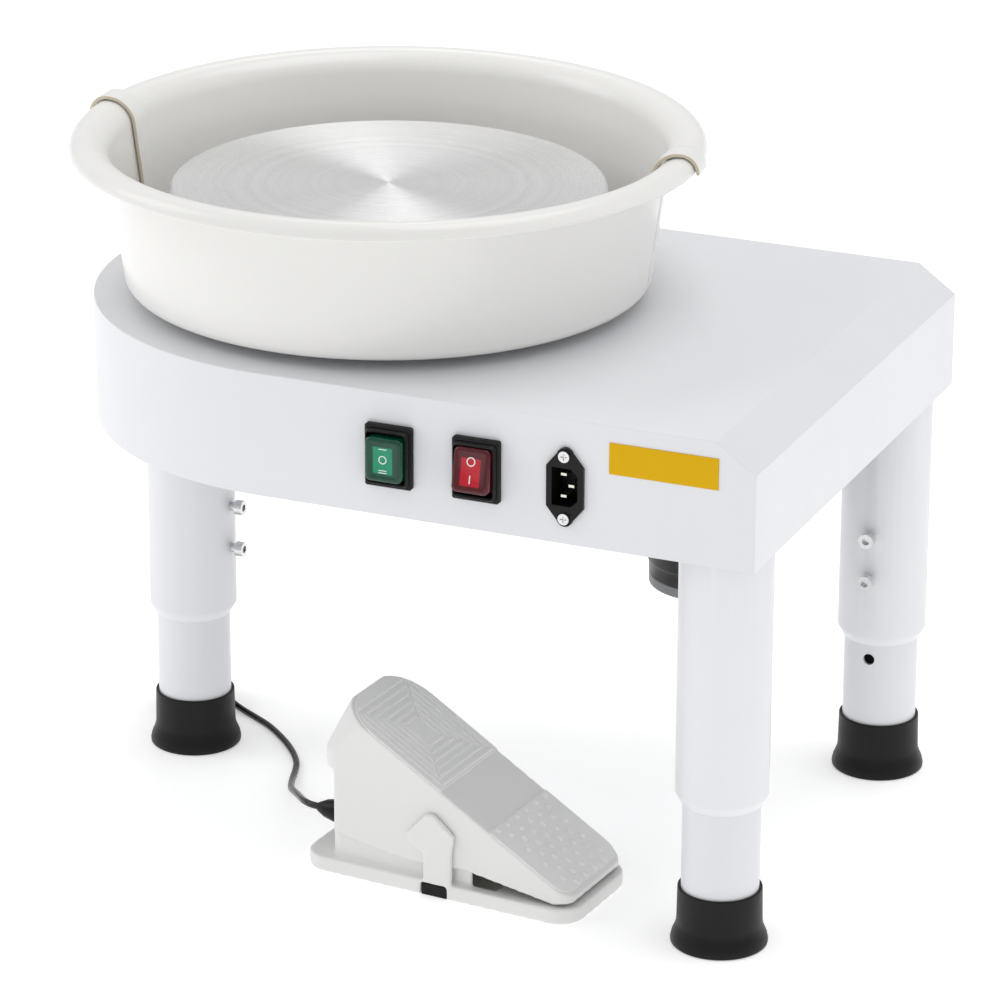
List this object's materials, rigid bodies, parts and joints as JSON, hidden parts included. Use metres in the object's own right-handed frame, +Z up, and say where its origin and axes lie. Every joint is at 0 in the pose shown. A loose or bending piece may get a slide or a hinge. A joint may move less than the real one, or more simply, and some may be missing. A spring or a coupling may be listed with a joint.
{
  "type": "electric pottery wheel",
  "caption": "Benchtop electric pottery wheel: round wheel head in a split splash pan, rounded sheet housing on telescopic legs, switch panel and corded foot pedal",
  "frame": {"origin": "the middle of the object's footprint on the floor, measured without the pedal cord", "axes": "+Z up along the wheel spindle, +X along the housing from its round end to its square end, -Y to the front, where the switches are"},
  "size_m": [0.5282, 0.406, 0.4504],
  "materials": {
    "housing_paint": "satin powder coat",
    "post_paint": "satin powder coat",
    "bright_zinc": "bright zinc plate",
    "shaft_steel": "ground steel",
    "turned_aluminium": "fine turned finish",
    "cast_aluminium": "as cast",
    "foot_rubber": "moulded matt",
    "motor_paint": "satin black",
    "motor_grey": "satin grey",
    "belt_rubber": "matt",
    "black_plastic": "fine texture",
    "green_rocker": "moulded",
    "green_cover": "moulded, glossy",
    "red_rocker": "moulded",
    "red_cover": "moulded, glossy",
    "brass_pin": "plated",
    "label_yellow": "printed film",
    "board_green": "solder mask",
    "pan_plastic": "moulded, glossy",
    "pad_rubber": "matt",
    "pedal_plastic": "moulded, satin gloss",
    "pedal_pad": "moulded grip pattern",
    "pedal_black": "matt",
    "sensor_grey": "moulded",
    "cord_jacket": "smooth jacket"
  },
  "bodies": {
    "frame": {"housing_shell": "housing_paint", "leg_channels": "bright_zinc", "leg_tube_left": "housing_paint", "leg_tube_front": "housing_paint", "leg_tube_rear": "housing_paint", "leg_bolts": "bright_zinc", "leg_lock_screws": "bright_zinc", "bearing_housing": "cast_aluminium", "bearing_housing_bolts": "bright_zinc", "spindle_bearings": "shaft_steel", "drive_belt": "belt_rubber", "motor_body": "motor_paint", "motor_end_ring": "motor_grey", "motor_bracket": "bright_zinc", "motor_screws": "bright_zinc", "controller_box": "bright_zinc", "control_board": "board_green", "cord_bracket": "bright_zinc", "housing_gland": "black_plastic", "direction_switch_body": "black_plastic", "power_switch_body": "black_plastic", "inlet_body": "black_plastic", "inlet_pins": "brass_pin", "inlet_screws": "bright_zinc", "label_plate": "label_yellow", "pedal_base": "pedal_plastic", "pedal_pins": "shaft_steel", "pedal_spring": "shaft_steel", "pedal_sensor": "sensor_grey", "pedal_rubber": "pedal_black", "pedal_gland": "black_plastic", "pedal_cord": "cord_jacket", "pedal_cord_coil": "cord_jacket", "pedal_cord_riser": "cord_jacket", "cord_tie": "black_plastic"},
    "leg_left": {"leg_post_left": "post_paint", "foot_left": "foot_rubber"},
    "leg_front": {"leg_post_front": "post_paint", "foot_front": "foot_rubber"},
    "leg_rear": {"leg_post_rear": "post_paint", "foot_rear": "foot_rubber"},
    "wheel": {"spindle_shaft": "shaft_steel", "wheel_hub": "cast_aluminium", "hub_screws": "bright_zinc", "wheel_head": "turned_aluminium", "driven_pulley": "cast_aluminium"},
    "motor_rotor": {"motor_shaft": "shaft_steel", "motor_pulley": "shaft_steel"},
    "direction_switch": {"direction_rocker": "green_rocker", "direction_cover": "green_cover"},
    "power_switch": {"power_rocker": "red_rocker", "power_cover": "red_cover"},
    "splash_pan_front": {"pan_front": "pan_plastic", "pan_pads_front": "pad_rubber"},
    "splash_pan_back": {"pan_back": "pan_plastic", "pan_pads_back": "pad_rubber"},
    "treadle": {"pedal_treadle": "pedal_plastic", "toe_pad": "pedal_pad", "heel_pad": "pedal_pad", "pedal_sensor_arm": "sensor_grey"}
  },
  "joints": [
    {"name": "wheel_spin", "type": "hinge", "parent": "frame", "child": "wheel", "pos_m": [-0.0576, 0, 0.3], "axis": [0, 0, 1], "continuous": true},
    {"name": "motor_spin", "type": "hinge", "parent": "frame", "child": "motor_rotor", "pos_m": [0.1664, 0, 0.28], "axis": [0, 0, 1], "continuous": true},
    {"name": "leg_left_slide", "type": "slide", "parent": "frame", "child": "leg_left", "axis": [0, 0, 1], "range_m": [-0.059, 0.055]},
    {"name": "leg_front_slide", "type": "slide", "parent": "frame", "child": "leg_front", "axis": [0, 0, 1], "range_m": [-0.059, 0.055]},
    {"name": "leg_rear_slide", "type": "slide", "parent": "frame", "child": "leg_rear", "axis": [0, 0, 1], "range_m": [-0.059, 0.055]},
    {"name": "pan_front_slide", "type": "slide", "parent": "frame", "child": "splash_pan_front", "axis": [0.0785, -0.9969, 0], "range_m": [0, 0.22]},
    {"name": "pan_back_slide", "type": "slide", "parent": "frame", "child": "splash_pan_back", "axis": [-0.0785, 0.9969, 0], "range_m": [0, 0.22]},
    {"name": "direction_rock", "type": "hinge", "parent": "frame", "child": "direction_switch", "pos_m": [0.0269, -0.186, 0.302], "axis": [1, 0, 0], "range_deg": [-12, 12]},
    {"name": "power_rock", "type": "hinge", "parent": "frame", "child": "power_switch", "pos_m": [0.0848, -0.186, 0.302], "axis": [1, 0, 0], "range_deg": [0, 24]},
    {"name": "treadle_tilt", "type": "hinge", "parent": "frame", "child": "treadle", "pos_m": [0.04701, -0.12224, 0.042], "axis": [-0.0872, -0.9962, 0], "range_deg": [0, 12], "stiffness_Nm_per_rad": 0.8, "springref_deg": -11.46, "deforming": ["pedal_spring"]}
  ],
  "couplings": [
    {"joint": "motor_spin", "follows": "wheel_spin", "ratio": 4.25}
  ]
}
